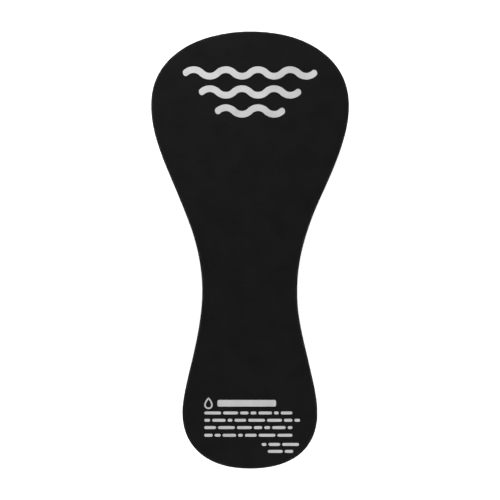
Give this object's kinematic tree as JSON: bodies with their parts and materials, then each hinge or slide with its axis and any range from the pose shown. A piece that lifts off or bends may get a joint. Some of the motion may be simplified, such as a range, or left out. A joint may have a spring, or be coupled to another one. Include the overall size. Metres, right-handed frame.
{
  "type": "pull buoy",
  "caption": "Hourglass block of laminated closed-cell foam, held between the thighs to float a swimmer's legs.",
  "frame": {"origin": "centre of the plain back face, which the buoy rests on", "axes": "+Z out of the printed front face, through the layers; +Y along the buoy towards its large lobe; +X across it"},
  "size_m": [0.1084, 0.24, 0.1409],
  "materials": {
    "black_foam": "matte closed-cell EVA foam, saw-cut walls and skived faces",
    "charcoal_foam": "matte closed-cell EVA foam, saw-cut walls",
    "bond_film": "hot-melt adhesive film, seen only as a thin line at each seam",
    "print_ink": "light grey screen-printed ink"
  },
  "bodies": {
    "root": {"back_slab": "black_foam", "rear_core_slab": "charcoal_foam", "centre_slab": "black_foam", "front_core_slab": "charcoal_foam", "front_slab": "black_foam", "bond_film_1": "bond_film", "bond_film_2": "bond_film", "bond_film_3": "bond_film", "bond_film_4": "bond_film", "wave_print": "print_ink", "care_print": "print_ink"}
  },
  "joints": []
}
